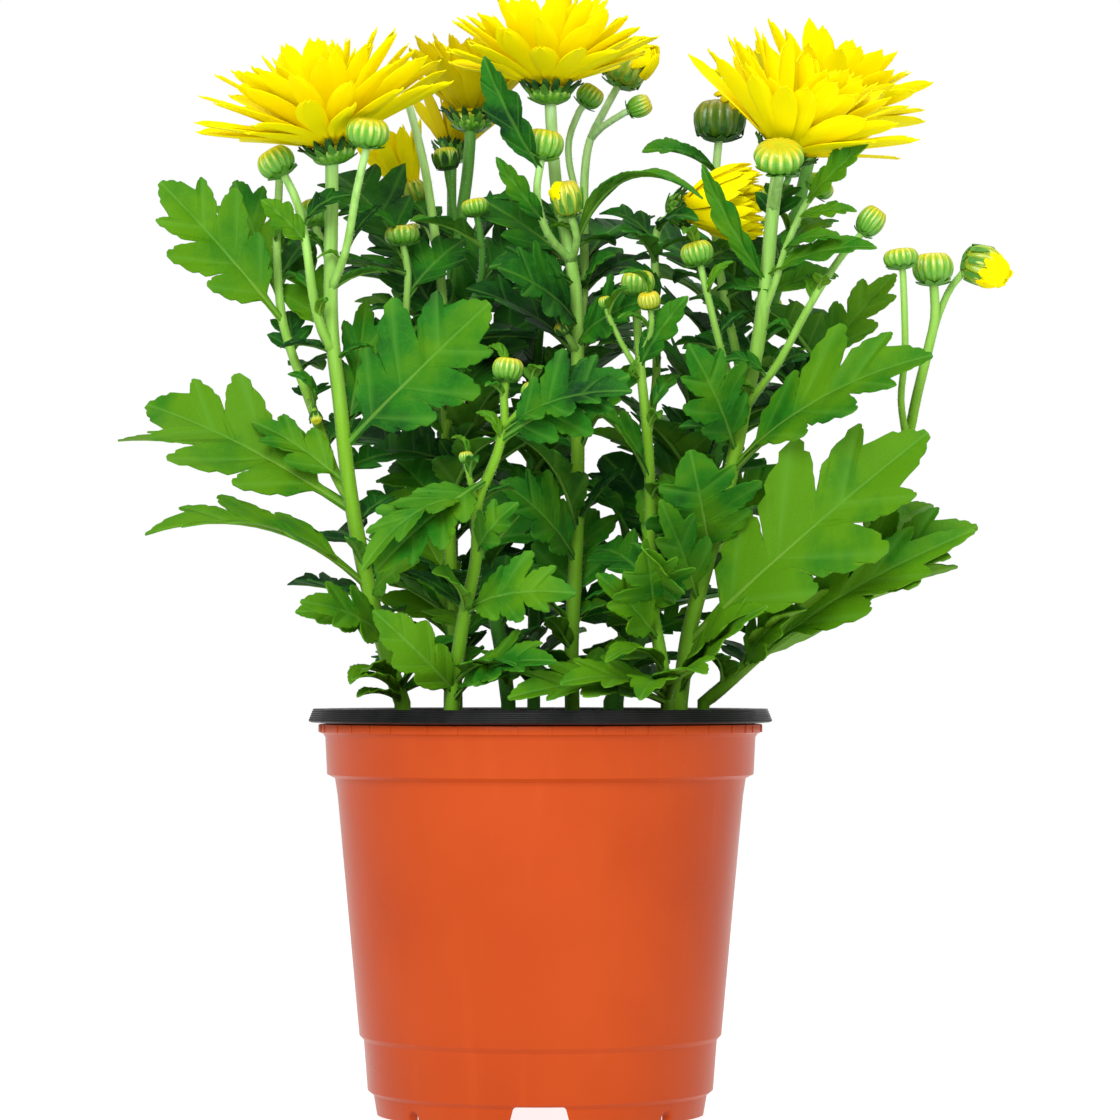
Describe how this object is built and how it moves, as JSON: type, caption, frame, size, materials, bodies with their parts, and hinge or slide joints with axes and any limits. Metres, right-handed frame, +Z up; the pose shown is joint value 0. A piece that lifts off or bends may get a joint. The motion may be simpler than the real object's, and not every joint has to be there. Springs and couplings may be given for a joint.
{
  "type": "pot chrysanthemum",
  "caption": "Flowering chrysanthemum in an orange nursery pot with a black liner: leafy branching stems with lobed leaves, ridged green buds and open yellow blooms.",
  "frame": {"origin": "Middle of the bottom of the bounding box, on the surface that the pot stands on. The pot's own axis is 3.4 mm to the left and 5.3 mm in front of it.", "axes": "+Z up. -Y is the front, as pictured, and +X is to the right as seen from the front."},
  "size_m": [0.2554, 0.1556, 0.3132],
  "materials": {
    "orange_plastic": "satin terracotta-orange plastic",
    "black_plastic": "satin black plastic",
    "peat": "dark crumbly peat with bark chips",
    "leaf_green": "matt green leaf and downy stem",
    "petal_yellow": "soft bright yellow petal"
  },
  "bodies": {
    "root": {"pot_outer": "orange_plastic", "pot_liner": "black_plastic", "soil": "peat", "stem_left": "leaf_green", "stem_left_inner": "leaf_green", "stem_second": "leaf_green", "stem_front": "leaf_green", "stem_centre": "leaf_green", "stem_middle_right": "leaf_green", "stem_right": "leaf_green", "stem_back_bloom": "leaf_green", "stem_far_right": "leaf_green", "stem_back_left": "leaf_green", "stem_back_middle": "leaf_green", "stem_back_right": "leaf_green", "bloom_left_front": "petal_yellow", "bloom_second": "petal_yellow", "bloom_top": "petal_yellow", "bloom_right_front": "petal_yellow", "bloom_right_back": "petal_yellow", "bloom_half_open_right": "petal_yellow", "bloom_half_open_left": "petal_yellow", "bloom_opening_top": "petal_yellow", "bloom_opening_back": "petal_yellow", "bloom_opening_centre": "petal_yellow", "bloom_opening_far_right": "petal_yellow", "bloom_back_left": "petal_yellow"}
  },
  "joints": []
}
